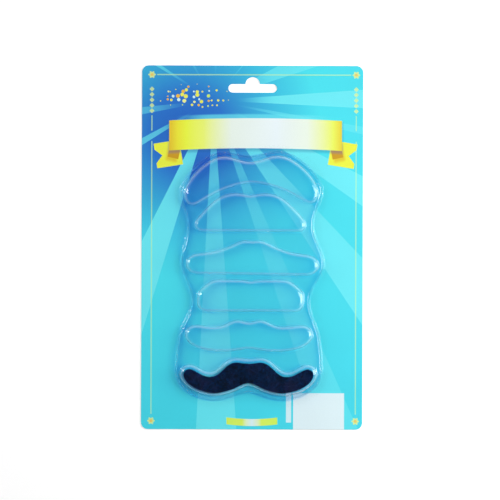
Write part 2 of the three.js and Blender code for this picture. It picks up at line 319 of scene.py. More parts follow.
# %% Printed band
def band_effect():
    """The mask of a long band whose middle line bows, with the place along it from -1 to 1."""
    outputs = {"Mask": "Float", "Along": "Float"}
    group, start, end = effect("Printed band", {**PRINT_SOCKETS, "Bow": "Float"}, outputs)
    given = start.outputs
    place_in = parts_of(group, given["Position"])
    aside = sums(group, "SUBTRACT", place_in["X"], given["Centre X"])
    bowed = sums(group, "MULTIPLY", sums(group, "MULTIPLY", aside, aside), given["Bow"])
    above = sums(group, "SUBTRACT", place_in["Y"], sums(group, "ADD", given["Centre Y"], bowed))
    past_side = sums(group, "SUBTRACT", sums(group, "ABSOLUTE", above), given["Half Height"])
    past_end = sums(group, "SUBTRACT", sums(group, "ABSOLUTE", aside), given["Half Width"])
    distance = sums(group, "MAXIMUM", past_side, past_end)
    feed(group, end.inputs["Mask"], edge_mask(group, distance, given["Edge"]))
    feed(group, end.inputs["Along"], sums(group, "DIVIDE", aside, given["Half Width"]))
    return group


printed_band = band_effect()
print("Effect:", printed_band.name)

# %% [markdown]
# No surface is perfectly even. The third shared effect is a slow wobble with a fine grain on top. On the
# board it is the ink's unevenness, on the plastic the slight waves that forming leaves, on the plush its
# brown patches and a painted sheen of patches that lie lighter, and on the film its orange peel.

# %% Uneven surface
WOBBLE_DETAIL = 1.0
GRAIN_DETAIL = 2.0
UNEVEN_LIMITS = (0.3, 0.7)


def noise_of(tree, position, size, detail):
    """Noise whose patches are about as large as size."""
    inputs = {"Vector": position, "Scale": sums(tree, "DIVIDE", 1.0, size), "Detail": detail}
    return add(tree, "ShaderNodeTexNoise", inputs).outputs["Fac"]


def uneven_effect():
    """A slow wobble and a fine grain, each with its own size in millimetres, joined by a share of grain."""
    inputs = {"Position": "Vector", "Wobble Size": "Float", "Grain Size": "Float", "Grain Share": "Float"}
    group, start, end = effect("Uneven surface", inputs, {"Value": "Float", "Wobble": "Float"})
    given = start.outputs
    wobble = noise_of(group, given["Position"], given["Wobble Size"], WOBBLE_DETAIL)
    grain = noise_of(group, given["Position"], given["Grain Size"], GRAIN_DETAIL)
    mix = add(group, "ShaderNodeMix", {0: given["Grain Share"], 2: wobble, 3: grain}, data_type="FLOAT")
    feed(group, end.inputs["Value"], mix.outputs[0])
    feed(group, end.inputs["Wobble"], wobble)
    return group


uneven_surface = uneven_effect()
print("Effect:", uneven_surface.name)


def uneven_on(tree, position, wobble, grain, share):
    """The uneven surface, placed in a material."""
    inputs = {"Position": position, "Wobble Size": wobble, "Grain Size": grain, "Grain Share": share}
    return place(tree, uneven_surface, inputs)


# %% [markdown]
# The card's print
#
# The real card has a bright print: deep blue at the upper left that opens into cyan, pale rays across it, a
# banner, thin frame lines with small ornaments, and a white label panel at the foot. The print could be a
# picture file, but drawn as a graph it stays sharp at any size. Each motif is a mask over the one below it.
# The banner, panel and ribbon are bare here.
#
# The sky is a ramp over the distance from its darkest place: each row is a distance in millimetres and the
# colour there. The rays are a ramp over the angle round their source: each row is the angle in degrees where
# a ray starts, the angle where it ends, and how light it is. They fade in over the first centimetres.

# %% Sky and rays
SKY = [
    (0.0, (0.016, 0.115, 0.53)),
    (26.0, (0.021, 0.18, 0.62)),
    (44.0, (0.034, 0.37, 0.70)),
    (62.0, (0.045, 0.55, 0.79)),
    (88.0, (0.068, 0.76, 0.87)),
    (190.0, (0.058, 0.70, 0.84)),
]
SKY_MIDDLE = (-43.0, 76.0)
RAY_SOURCE = (-26.0, 97.0)
RAYS = [
    (-175.0, -169.0, 0.4),
    (-152.0, -149.0, 0.6),
    (-118.0, -107.0, 0.95),
    (-93.0, -86.0, 0.8),
    (-72.0, -66.5, 0.5),
    (-57.0, -47.0, 0.85),
    (-36.0, -27.0, 1.0),
    (-14.0, -11.0, 0.5),
    (-3.0, 3.5, 1.0),
    (17.0, 27.0, 0.7),
    (48.0, 50.5, 0.75),
    (84.0, 86.0, 0.6),
    (118.0, 120.5, 0.7),
    (146.0, 148.0, 0.6),
]
RAY_COLOUR = (0.15, 0.83, 0.92)
RAY_FADE = (14.0, 46.0)
NO_LIGHT = (0, 0, 0)
FULL_TURN = 360.0


def away_from(tree, position, middle):
    """A position, measured from a middle."""
    return vectors(tree, "SUBTRACT", position, (*middle, 0))


def ramp_of(tree, value, rows, interpolation="LINEAR"):
    """A colour ramp made from rows of a place and its colour."""
    made = add(tree, "ShaderNodeValToRGB", {"Fac": value})
    made.color_ramp.interpolation = interpolation
    stops = made.color_ramp.elements
    while len(stops) < len(rows):
        stops.new(0.5)
    for stop, (at, colour) in zip(stops, sorted(rows)):
        stop.position = at
        stop.color = (*colour, 1)
    return made.outputs["Color"]


def ray_mask(tree, position):
    """How light the rays are, by the angle round their source."""
    away = away_from(tree, position, RAY_SOURCE)
    parts = parts_of(tree, away)
    angle = sums(tree, "ARCTAN2", parts["Y"], parts["X"])
    turn = sums(tree, "ADD", sums(tree, "DIVIDE", angle, math.tau), 0.5)
    steps = [(0.0, NO_LIGHT)]
    for first, last, light in RAYS:
        steps.append((first / FULL_TURN + 0.5, (light, light, light)))
        steps.append((last / FULL_TURN + 0.5, NO_LIGHT))
    rays = ramp_of(tree, turn, steps, "CONSTANT")
    return sums(tree, "MULTIPLY", rays, soft_step(tree, flat_length(tree, away), *RAY_FADE))


def sky_colour(tree, position):
    """The blue that opens into cyan, with its rays."""
    farthest = SKY[-1][0]
    share = sums(tree, "DIVIDE", flat_length(tree, away_from(tree, position, SKY_MIDDLE)), farthest)
    sky = ramp_of(tree, share, [(reach / farthest, colour) for reach, colour in SKY])
    return blend_colours(tree, ray_mask(tree, position), sky, RAY_COLOUR)


print(len(RAYS), "rays on a sky of", len(SKY), "colours")

# %% [markdown]
# Patches and bands are placed by their middle and half size in millimetres. The frame, its ornaments and
# the ribbon's tails are the same at both sides, so they are drawn once on folded coordinates: the distance
# from a middle line is taken without its sign, and one drawing shows at the left and at the right.

# %% Patches, bands and folds
PRINT_EDGE = 0.12


def shape_inputs(position, centre, half, edge):
    """The inputs that patches and bands share."""
    return {"Position": position, **dict(zip(MEASURES, (*centre, *half, edge)))}


def patch(tree, position, centre, half, corner=0.0, turn=0.0, edge=PRINT_EDGE):
    """The mask of one printed patch."""
    inputs = {**shape_inputs(position, centre, half, edge), "Corner": corner, "Turn": turn}
    return place(tree, printed_patch, inputs)["Mask"]


def band(tree, position, centre, half, bow=0.0, edge=PRINT_EDGE):
    """One printed band, with its mask and the place along it."""
    return place(tree, printed_band, {**shape_inputs(position, centre, half, edge), "Bow": bow})


def folded_sideways(tree, position, middle_x):
    """A position whose left side is folded onto its right side."""
    away = away_from(tree, position, (middle_x, 0))
    return vectors(tree, "MAXIMUM", away, vectors(tree, "MULTIPLY", away, (-1, 1, 1)))


class Print:
    """The print as it grows: each motif is laid over the colour so far."""

    def __init__(self, tree, colour):
        self.tree = tree
        self.colour = colour

    def lay(self, mask, ink, strength=1.0):
        """Lays an ink over the print where the mask is."""
        factor = sums(self.tree, "MULTIPLY", mask, strength)
        self.colour = blend_colours(self.tree, factor, self.colour, ink)


print("Patches and bands have an edge of", PRINT_EDGE, "mm")

# %% [markdown]
# Thin lines run along the card's top and sides, with a small flower in each corner and a row of diamonds at
# both sides. Next to the hang slot lies a patch of confetti: the cells of a Voronoi pattern give each dot its
# place, its ink and its size, and the dots get smaller towards the edge of an oval.

# %% Frame lines and flowers
FRAME_MIDDLE = (1.0, -0.3)
FRAME_HALF = (67.4, 114.2)
SIDE_LINES = [
    {"centre": (FRAME_HALF[0], -20.0), "half": (0.35, 90.0)},
    {"centre": (FRAME_HALF[0], 82.0), "half": (0.35, 5.0)},
]
TOP_LINE = {"centre": (1.0, 113.9), "half": (64.0, 0.38)}
LINE_COLOUR = (0.55, 0.92, 0.40)
LINE_STRENGTH = 0.65
DIAMOND = {"half": (1.15, 1.15), "corner": 0.2, "turn": math.radians(45)}
DIAMONDS = {"count": 5, "lowest": 90.0, "apart": 3.6}
DIAMOND_STRENGTH = 0.75
FLOWER = {"petals": 6.0, "radius": 2.5, "wave": 0.16, "edge": 0.2}
FLOWER_COLOUR = (0.72, 0.90, 0.28)
FLOWER_STRENGTH = 0.9
HEART = {"half": (1.0, 1.0), "corner": 1.0}
HEART_COLOUR = (0.86, 0.52, 0.12)
HEART_STRENGTH = 0.8


def flower(tree, position, centre):
    """The mask of a small flower: a disc whose edge goes in and out with the angle."""
    away = away_from(tree, position, centre)
    parts = parts_of(tree, away)
    angle = sums(tree, "ARCTAN2", parts["Y"], parts["X"])
    wave = sums(tree, "COSINE", sums(tree, "MULTIPLY", angle, FLOWER["petals"]))
    share = sums(tree, "ADD", sums(tree, "MULTIPLY", wave, FLOWER["wave"]), 1 - FLOWER["wave"])
    edge = sums(tree, "MULTIPLY", share, FLOWER["radius"])
    past = sums(tree, "SUBTRACT", flat_length(tree, away), edge)
    return soft_step(tree, past, -FLOWER["edge"], FLOWER["edge"], 1.0, 0.0)


def lay_frame(work, position):
    """The frame lines with their diamonds and flowers."""
    tree = work.tree
    at_sides = folded_sideways(tree, position, FRAME_MIDDLE[0])
    for line in SIDE_LINES:
        work.lay(patch(tree, at_sides, **line), LINE_COLOUR, LINE_STRENGTH)
    work.lay(patch(tree, position, **TOP_LINE), LINE_COLOUR, LINE_STRENGTH)
    for step in range(DIAMONDS["count"]):
        centre = (FRAME_HALF[0], DIAMONDS["lowest"] + DIAMONDS["apart"] * step)
        work.lay(patch(tree, at_sides, centre, **DIAMOND), FLOWER_COLOUR, DIAMOND_STRENGTH)
    at_corners = vectors(tree, "ABSOLUTE", away_from(tree, position, FRAME_MIDDLE))
    work.lay(flower(tree, at_corners, FRAME_HALF), FLOWER_COLOUR, FLOWER_STRENGTH)
    work.lay(patch(tree, at_corners, FRAME_HALF, **HEART), HEART_COLOUR, HEART_STRENGTH)


print("The frame's half size is", FRAME_HALF, "mm")

# %% Confetti
CONFETTI_MIDDLE = (-39.0, 99.6)
CONFETTI_HALF = (25.0, 8.5)
CONFETTI_SIZE = 3.4
CONFETTI_SCATTER = 0.75
CONFETTI_LEFT_OUT = 0.22
DOT_RADIUS = {"middle": 0.40, "rim": 0.16, "smallest share": 0.45, "edge": 0.03}
OVAL = {"dots shrink from": 0.3, "ends from": 0.95}
CONFETTI_INKS = [
    (0.0, (0.86, 0.88, 0.10)),
    (0.46, (0.60, 0.84, 0.16)),
    (0.62, (0.88, 0.52, 0.05)),
    (0.72, (0.62, 0.92, 0.98)),
    (0.86, (0.88, 0.93, 0.30)),
]


def confetti(tree, position):
    """Scattered dots with their mask, in the printer's bright inks, thinning out towards the oval's edge."""
    inputs = {"Vector": position, "Scale": 1 / CONFETTI_SIZE, "Randomness": CONFETTI_SCATTER}
    cells = add(tree, "ShaderNodeTexVoronoi", inputs, voronoi_dimensions="2D").outputs
    chances = add(tree, "ShaderNodeSeparateColor", {0: cells["Color"]}).outputs
    away = away_from(tree, position, CONFETTI_MIDDLE)
    reach = flat_length(tree, vectors(tree, "DIVIDE", away, (*CONFETTI_HALF, 1.0)))
    radii = (DOT_RADIUS["middle"], DOT_RADIUS["rim"])
    largest = soft_step(tree, reach, OVAL["dots shrink from"], 1.0, *radii)
    share = soft_step(tree, chances["Blue"], 0.0, 1.0, DOT_RADIUS["smallest share"], 1.0)
    past = sums(tree, "SUBTRACT", cells["Distance"], sums(tree, "MULTIPLY", largest, share))
    dot = soft_step(tree, past, -DOT_RADIUS["edge"], DOT_RADIUS["edge"], 1.0, 0.0)
    kept = sums(tree, "GREATER_THAN", chances["Green"], CONFETTI_LEFT_OUT)
    oval = soft_step(tree, reach, OVAL["ends from"], 1.0, 1.0, 0.0)
    mask = sums(tree, "MULTIPLY", sums(tree, "MULTIPLY", dot, kept), oval)
    return mask, ramp_of(tree, chances["Red"], CONFETTI_INKS, "CONSTANT")


print("Confetti in", len(CONFETTI_INKS), "inks")

# %% [markdown]
# The banner is a bowed ribbon that goes from gold at its ends to white in its middle. A tail hangs behind
# each end, with a notch cut into it and a darker fold where the ribbon turns round. Above the banner the
# paper glows, and under it lies a soft shadow. The white panel with its strip and a small ribbon come last.

# %% Banner
RIBBON_MIDDLE = 2.0
RIBBON_BOW = -0.0005
RIBBON = {"centre": (RIBBON_MIDDLE, 75.4), "half": (57.0, 9.9), "bow": RIBBON_BOW}
RIBBON_SHADOW = {"centre": (RIBBON_MIDDLE, 73.8), "half": (57.6, 10.2), "bow": RIBBON_BOW, "edge": 1.2}
RIBBON_GLOW = {"centre": (RIBBON_MIDDLE, 78.0), "half": (54.0, 10.0), "bow": RIBBON_BOW, "edge": 0.7}
SHADOW_BLUE = (0.012, 0.10, 0.30)
SHADOW_STRENGTH = 0.4
GLOW_FADES_FROM = 0.55
GLOW_STRENGTH = 0.6
TAIL = {"centre": (57.5, 61.5), "half": (8.6, 8.2), "corner": 0.3, "turn": math.radians(9)}
TAIL_NOTCH = {"centre": (67.6, 59.6), "half": (4.4, 4.4), "turn": math.radians(54)}
FOLD_TURN = math.radians(-12)
TAIL_FOLD = {"centre": (53.4, 64.0), "half": (3.6, 5.2), "corner": 0.3, "turn": FOLD_TURN}
TAIL_SHADE = {"centre": (54.6, 62.4), "half": (3.6, 5.6), "corner": 1.0, "turn": FOLD_TURN, "edge": 1.4}
TAIL_COLOUR = (0.84, 0.90, 0.06)
TAIL_SHADE_COLOUR = (0.74, 0.46, 0.02)
TAIL_SHADE_STRENGTH = 0.7
FOLD_COLOUR = (0.62, 0.34, 0.015)
BANNER_COLOURS = [
    (0.0, (0.80, 0.55, 0.03)),
    (0.05, (0.84, 0.80, 0.04)),
    (0.10, (0.83, 0.93, 0.06)),
    (0.20, (0.83, 0.93, 0.18)),
    (0.36, (0.82, 0.92, 0.84)),
    (0.62, (0.83, 0.93, 0.96)),
    (0.80, (0.83, 0.93, 0.80)),
    (0.95, (0.84, 0.93, 0.12)),
    (1.0, (0.82, 0.66, 0.04)),
]


def lay_banner(work, position):
    """The banner with its tails, glow and shadow."""
    tree = work.tree
    at_sides = folded_sideways(tree, position, RIBBON_MIDDLE)
    notch = sums(tree, "SUBTRACT", 1.0, patch(tree, at_sides, **TAIL_NOTCH))
    tail = sums(tree, "MULTIPLY", patch(tree, at_sides, **TAIL), notch)
    work.lay(tail, TAIL_COLOUR)
    tail_shade = sums(tree, "MULTIPLY", patch(tree, at_sides, **TAIL_SHADE), tail)
    work.lay(tail_shade, TAIL_SHADE_COLOUR, TAIL_SHADE_STRENGTH)
    work.lay(patch(tree, at_sides, **TAIL_FOLD), FOLD_COLOUR)
    halo = band(tree, position, **RIBBON_GLOW)
    faded = soft_step(tree, sums(tree, "ABSOLUTE", halo["Along"]), GLOW_FADES_FROM, 1.0, 1.0, 0.0)
    work.lay(sums(tree, "MULTIPLY", halo["Mask"], faded), RAY_COLOUR, GLOW_STRENGTH)
    work.lay(band(tree, position, **RIBBON_SHADOW)["Mask"], SHADOW_BLUE, SHADOW_STRENGTH)
    ribbon = band(tree, position, **RIBBON)
    along = sums(tree, "MULTIPLY", sums(tree, "ADD", ribbon["Along"], 1.0), 0.5)
    work.lay(ribbon["Mask"], ramp_of(tree, along, BANNER_COLOURS))


print("The banner goes through", len(BANNER_COLOURS), "colours")

# %% Label and foot ribbon
LABEL = {"centre": (44.2, -109.0), "half": (16.8, 13.0)}
LABEL_STRENGTH = 0.92
LABEL_STRIP = {"centre": (24.4, -105.6), "half": (1.7, 9.8)}
STRIP_STRENGTH = 0.8
PAPER_WHITE = (0.80, 0.92, 0.96)
FOOT_RIBBON = {"centre": (0.2, -115.5), "half": (16.8, 2.3), "bow": 0.004}
FOOT_COLOURS = [
    (0.0, (0.70, 0.90, 0.94)),
    (0.22, (0.74, 0.91, 0.60)),
    (0.38, (0.70, 0.90, 0.12)),
    (0.95, (0.64, 0.90, 0.12)),
]


def printed_colour(tree, position):
    """Every motif of the print over the sky, in the order in which a printer would stack them."""
    work = Print(tree, sky_colour(tree, position))
    lay_frame(work, position)
    work.lay(*confetti(tree, position))
    lay_banner(work, position)
    work.lay(patch(tree, position, **LABEL), PAPER_WHITE, LABEL_STRENGTH)
    work.lay(patch(tree, position, **LABEL_STRIP), PAPER_WHITE, STRIP_STRENGTH)
    foot = band(tree, position, **FOOT_RIBBON)
    work.lay(foot["Mask"], ramp_of(tree, sums(tree, "ABSOLUTE", foot["Along"]), FOOT_COLOURS))
    return work.colour


print("The label panel measures", [2 * half for half in LABEL["half"]], "mm")

# %% [markdown]
# The board under the print is white pulp board. Its cut edge and its back show the raw stock, a little
# rough and grey. The print has a thin varnish: smooth, with the faint unevenness of the board below. The
# face is told from the edge and back by the direction that the surface faces.

# %% Printed board material
RAW_BOARD = (0.72, 0.71, 0.67)
RAW_BOARD_SHADE = (0.60, 0.585, 0.54)
RAW_BOARD_ROUGHNESS = 0.85
VARNISH_ROUGHNESS = 0.42
VARNISH_GLOSS = 0.35
BOARD_UNEVENNESS = {"wobble": 30.0, "grain": 0.35, "share": 0.6}
BOARD_BUMP = {"strength": 0.12, "distance": 0.06 * MM}
INK_SHADES = (0.97, 1.03)
FACE_LIMITS = (0.45, 0.6)


def board_material():
    """Varnished print on the face, raw board on the edge and back."""
    material, tree, shader = new_material("printed_board")
    position, facing = position_in_mm(tree)
    face = soft_step(tree, parts_of(tree, facing)["Z"], *FACE_LIMITS)
    uneven = uneven_on(tree, position, **BOARD_UNEVENNESS)["Value"]
    ink_shade = soft_step(tree, uneven, *UNEVEN_LIMITS, *INK_SHADES)
    ink = scaled(tree, printed_colour(tree, position), ink_shade)
    pulp = blend_colours(tree, uneven, RAW_BOARD, RAW_BOARD_SHADE)
    finish = {
        "Base Color": blend_colours(tree, face, pulp, ink),
        "Roughness": soft_step(tree, face, 0.0, 1.0, RAW_BOARD_ROUGHNESS, VARNISH_ROUGHNESS),
        "Normal": bump_of(tree, uneven, **BOARD_BUMP),
        "Specular IOR Level": VARNISH_GLOSS,
    }
    give(tree, shader, finish)
    return material


printed_board = board_material()
print("Material:", printed_board.name, "with", len(printed_board.node_tree.nodes), "nodes")

# %% [markdown]
# Shared steps for pieces
#
# A node of the frame comes in as loose triangles. To shape it further, a copy is merged into one skin first.
# Every finished piece has its object at the origin and rides on the one body that the part has.

# %% Piece helpers
MERGE_DISTANCE = 1e-6


def merged_copy(node_name):
    """A bmesh copy of a node with its triangles joined into one skin."""
    shape = bmesh.new()
    shape.from_mesh(nodes[node_name].data)
    bmesh.ops.remove_doubles(shape, verts=shape.verts, dist=MERGE_DISTANCE)
    shape.normal_update()
    return shape


def mesh_of(name, shape):
    """A mesh made from a bmesh, which is freed."""
    mesh = bpy.data.meshes.new(name)
    shape.to_mesh(mesh)
    shape.free()
    return mesh


def riding_piece(name, mesh, material):
    """Turns a mesh into a named piece that rides on the part."""
    mesh.materials.clear()
    mesh.materials.append(material)
    piece = new_object(name, mesh)
    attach(piece, "root")
    print(name, "has", len(mesh.polygons), "faces")
    return piece


def finish_piece(name, shape, material, smooth=True):
    """Turns a bmesh into a named piece that rides on the part."""
    mesh = mesh_of(name, shape)
    for face in mesh.polygons:
        face.use_smooth = smooth
    return riding_piece(name, mesh, material)


def steady_normals(piece):
    """Lets large flat faces stay flat in the light beside their round edges."""
    modifier = piece.modifiers.new("flat_faces_stay_flat", "WEIGHTED_NORMAL")
    modifier.mode = "FACE_AREA"
    modifier.keep_sharp = True


# %% [markdown]
# The card
#
# A die presses the card out of a sheet of board, which leaves its rims slightly rounded. The flat triangles
# of the frame's card are dissolved into whole faces, and its rims get a narrow bevel that catches the light.

# %% Card piece
RIM_ANGLE = math.radians(60)
FLAT_ANGLE = math.radians(0.6)
BOARD_ROUNDING = 0.14 * MM
BOARD_SEGMENTS = 3


def round_off(shape, edges, rounding, segments, clamp):
    """Rounds edges of a bmesh with a bevel."""
    bmesh.ops.bevel(
        shape,
        geom=edges,
        offset=rounding,
        offset_type="OFFSET",
        segments=segments,
        profile=0.5,
        material=-1,
        affect="EDGES",
        clamp_overlap=clamp,
    )


board = merged_copy("card")
bmesh.ops.dissolve_limit(board, angle_limit=FLAT_ANGLE, verts=board.verts, edges=board.edges)
rims = [edge for edge in board.edges if edge.calc_face_angle(0) > RIM_ANGLE]
round_off(board, rims, BOARD_ROUNDING, BOARD_SEGMENTS, clamp=True)
card = finish_piece("hanging_card", board, printed_board)
steady_normals(card)
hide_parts("card")

# %% [markdown]
# The blister's plastic
#
# A blister is clear polyester sheet, heated and drawn over a mould. Where it was drawn round a corner it is
# thin and a little milky. That milky white is also a painted highlight, which draws each rim as a soft white
# line. Reflections and refraction come from the real surface. The flange is heat sealed to the varnish, with
# no air between, and so it hardly shows, and the low walls of the tray show little too.
#
# A glass shader alone would leave its shadow black, so light on its way to the card goes straight through
# with a slight tint, and with a deeper one where the sheet stands steep. The left side of each form throws
# the right box's light back, so its shade is the deepest. A left wall's outer face looks left and up and its
# inner face right and down, so across times up is below zero on both, and above zero on a right wall.

# %% Clear plastic values
PLASTIC_IOR = 1.5
PLASTIC_ROUGHNESS = 0.03
PLASTIC_TINT = (0.965, 0.985, 0.992)
PLASTIC_UNEVENNESS = {"wobble": 16.0, "grain": 2.6, "share": 0.15}
PLASTIC_BUMP = {"strength": 0.2, "distance": 0.35 * MM}
PLASTIC_SHADE = (0.93, 0.955, 0.985)
LIT_WALL_SHADE = (0.55, 0.80, 0.95)
FAR_WALL_SHADE = (0.08, 0.42, 0.84)
NO_SHADE = (1, 1, 1)
SIDE_LIMIT = 0.25
# Milky white of the drawn rims, which also serves as their painted highlight line.
MILKY_WHITE_AND_PAINTED_HIGHLIGHT = (0.90, 0.95, 0.98)
MILKY_AND_HIGHLIGHT_SHARES = (0.07, 0.10)
TRAY_TO_CAVITY = (4.0, 5.6)
SEALED_SHARE = 0.85
SEALED_HEIGHTS = (1.12, 1.5)
LOW_WALL_SHARE = 0.8
LOW_WALL_HEIGHTS = (3.6, 4.4)
WALL_LEVELS = (0.75, 0.97)
ROUND_FROM_LEVELS = (0.45, 0.62)
ROUND_TO_LEVELS = (0.80, 0.95)
print("The sheet is milky by", MILKY_AND_HIGHLIGHT_SHARES, "where it is drawn")

# %% Clear plastic material
def sheet_masks(tree, height, level):
    """Where the sheet stands steep, is sealed, is milky with its painted highlight and goes unseen, by its
    height and its levelness.
    """
    steep = soft_step(tree, level, *WALL_LEVELS, 1.0, 0.0)
    sealed = soft_step(tree, height, *SEALED_HEIGHTS, 1.0, 0.0)
    up_to_flat = soft_step(tree, level, *ROUND_TO_LEVELS, 1.0, 0.0)
    drawn = sums(tree, "MULTIPLY", soft_step(tree, level, *ROUND_FROM_LEVELS), up_to_flat)
    milky = sums(tree, "MULTIPLY", drawn, soft_step(tree, height, *TRAY_TO_CAVITY, *MILKY_AND_HIGHLIGHT_SHARES))
    low = soft_step(tree, height, *LOW_WALL_HEIGHTS, LOW_WALL_SHARE, 0.0)
    low_wall = sums(tree, "MULTIPLY", steep, low)
    unseen = sums(tree, "MAXIMUM", sums(tree, "MULTIPLY", sealed, SEALED_SHARE), low_wall)
    return steep, sealed, milky, unseen


def shade_of(tree, turned, steep, sealed):
    """The tint of the light that goes through the sheet to the card."""
    towards_right = sums(tree, "MULTIPLY", turned["X"], turned["Z"])
    far_side = soft_step(tree, towards_right, -SIDE_LIMIT, SIDE_LIMIT, 1.0, 0.0)
    wall_shade = blend_colours(tree, far_side, LIT_WALL_SHADE, FAR_WALL_SHADE)
    shade = blend_colours(tree, steep, PLASTIC_SHADE, wall_shade)
    return blend_colours(tree, sealed, shade, NO_SHADE)


def plastic_material():
    """Clear formed sheet that lets light through to what lies under it."""
    material, tree, shader = new_material("clear_plastic")
    position, facing = position_in_mm(tree)
    turned = parts_of(tree, facing)
    level = sums(tree, "ABSOLUTE", turned["Z"])
    steep, sealed, milky, unseen = sheet_masks(tree, parts_of(tree, position)["Z"], level)
    uneven = uneven_on(tree, position, **PLASTIC_UNEVENNESS)["Value"]
    finish = {
        "Base Color": (*PLASTIC_TINT, 1),
        "Roughness": PLASTIC_ROUGHNESS,
        "IOR": PLASTIC_IOR,
        "Transmission Weight": 1.0,
        "Normal": bump_of(tree, uneven, **PLASTIC_BUMP),
    }
    give(tree, shader, finish)
    # The milky white on the drawn rims is partly a painted highlight: it draws the soft white lines round the
    # cavities.
    milk_and_highlight = add(tree, "ShaderNodeBsdfDiffuse", {"Color": (*MILKY_WHITE_AND_PAINTED_HIGHLIGHT, 1)}).outputs[0]
    sheet = mix_shaders(tree, milky, shader.outputs[0], milk_and_highlight)
    laid = mix_shaders(tree, unseen, sheet, add(tree, "ShaderNodeBsdfTransparent").outputs[0])
    shade = shade_of(tree, turned, steep, sealed)
    through = add(tree, "ShaderNodeBsdfTransparent", {"Color": shade}).outputs[0]
    path = add(tree, "ShaderNodeLightPath").outputs
    lighting = sums(tree, "MAXIMUM", path["Is Shadow Ray"], path["Is Diffuse Ray"])
    whole = mix_shaders(tree, lighting, laid, through)
    feed(tree, tree.nodes["Material Output"].inputs["Surface"], whole)
    return material


clear_plastic = plastic_material()
print("Material:", clear_plastic.name)

# %% [markdown]
# The blister's shape
#
# The frame's blister has every wall and cavity, but its edges are sharp, and forming always rounds them: the
# sheet stretches over the mould's corners. So the outer skin alone is kept, its edges between a flat and a
# wall get a round bevel, and a Solidify modifier gives the sheet its wall again, inwards. The rounded rims
# are what draws the bright lines round each cavity. A face can't have a hole in it, so a plane through the
# middle of all the cavities first parts every level ring into two plain faces.

# %% Blister skin
SKIN_MIN_RISE = 0.05
PARTING_X = -0.9 * MM


def lies_on_parting(edge):
    """Whether an edge lies in the plane that parts the sheet in two."""
    return all(abs(vert.co.x - PARTING_X) < MERGE_DISTANCE for vert in edge.verts)


skin = merged_copy("blister")
underside = [face for face in skin.faces if face.normal.z < SKIN_MIN_RISE]
bmesh.ops.delete(skin, geom=underside, context="FACES")
bmesh.ops.bisect_plane(
    skin,
    geom=skin.verts[:] + skin.edges[:] + skin.faces[:],
    dist=MERGE_DISTANCE,
    plane_co=(PARTING_X, 0, 0),
    plane_no=(1, 0, 0),
)
inner_edges = [edge for edge in skin.edges if not lies_on_parting(edge)]
bmesh.ops.dissolve_limit(skin, angle_limit=FLAT_ANGLE, verts=skin.verts, edges=inner_edges)
skin.normal_update()
print("The sheet's largest face has", max(len(face.verts) for face in skin.faces), "corners")

# %% Blister piece
FLAT_RISE = 0.99
SHEET_WALL = 0.4 * MM
FORMED_EDGES = [
    {"name": "rims of the cavities", "convex": True, "from": 6.0, "to": 9.0, "rounding": 2.3, "segments": 7},
    {"name": "rim of the tray", "convex": True, "from": 2.0, "to": 6.0, "rounding": 0.5, "segments": 4},
    {"name": "feet of the cavities", "convex": False, "from": 2.0, "to": 6.0, "rounding": 0.3, "segments": 3},
    {"name": "foot of the tray", "convex": False, "from": 0.0, "to": 2.0, "rounding": 0.8, "segments": 4},
]


def is_flat(face):
    """Whether a face of the sheet lies level."""
    return face.normal.z > FLAT_RISE


def formed_edges(shape, row):
    """The edges of one row of the table, where a level part of the sheet meets a wall."""
    found = []
    for edge in shape.edges:
        height = edge.verts[0].co.z / MM
        if len(edge.link_faces) == 2 and row["from"] < height < row["to"] and edge.is_convex == row["convex"]:
            if is_flat(edge.link_faces[0]) != is_flat(edge.link_faces[1]):
                found.append(edge)
    return found


for row in FORMED_EDGES:
    edges = formed_edges(skin, row)
    round_off(skin, edges, row["rounding"] * MM, row["segments"], clamp=False)
    skin.normal_update()
    print(len(edges), "edges rounded at the", row["name"])
blister = finish_piece("formed_blister", skin, clear_plastic)
wall = blister.modifiers.new("sheet_wall", "SOLIDIFY")
wall.thickness = SHEET_WALL
wall.offset = -1
wall.use_even_offset = True
steady_normals(blister)
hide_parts("blister")

# %% [markdown]
# The moustache's plush
#
# The moustache is die-cut from plush cloth: a dense knitted backing with short straight fibres standing on
# it. From above only the fibre tips show, which makes it almost lightless, and soft bands appear where the
# pile leans one way or another. The pile's colour also carries a painted sheen in lighter and darker patches.
# The fibres are dark navy and dark brown rather than one black. Each fibre carries its own tone, as an
# attribute that the planting gives it.

# %% Plush materials
KNIT_LOOPS = {"Scale": 0.9, "Distortion": 1.5, "Detail": 1.0}
KNIT_TONES = [(0.003, 0.006, 0.016), (0.008, 0.014, 0.034)]
KNIT_BUMP = {"strength": 0.6, "distance": 0.2 * MM}
KNIT_ROUGHNESS = 0.9
NAVY_TONES = [(0.006, 0.060, 0.185), (0.020, 0.135, 0.425)]
BROWN_TONE = (0.078, 0.044, 0.130)
BROWN_SHARE = 0.5
BROWN_LIMITS = (0.4, 0.7)
PILE_UNEVENNESS = {"wobble": 7.0, "grain": 2.0, "share": 0.5}
# How far the pile's colour is painted darker and lighter in patches: a painted sheen.
PAINTED_PILE_SHEEN = (0.42, 1.7)
PILE_ROUGHNESS = 0.8
PILE_GLOSS = 0.05


def backing_material():
    """The black knit that the pile stands on."""
    material, tree, shader = new_material("plush_backing")
    position, _ = position_in_mm(tree)
    loops = add(tree, "ShaderNodeTexWave", {"Vector": position, **KNIT_LOOPS}).outputs["Fac"]
    finish = {
        "Base Color": blend_colours(tree, loops, *KNIT_TONES),
        "Roughness": KNIT_ROUGHNESS,
        "Normal": bump_of(tree, loops, **KNIT_BUMP),
    }
    give(tree, shader, finish)
    return material


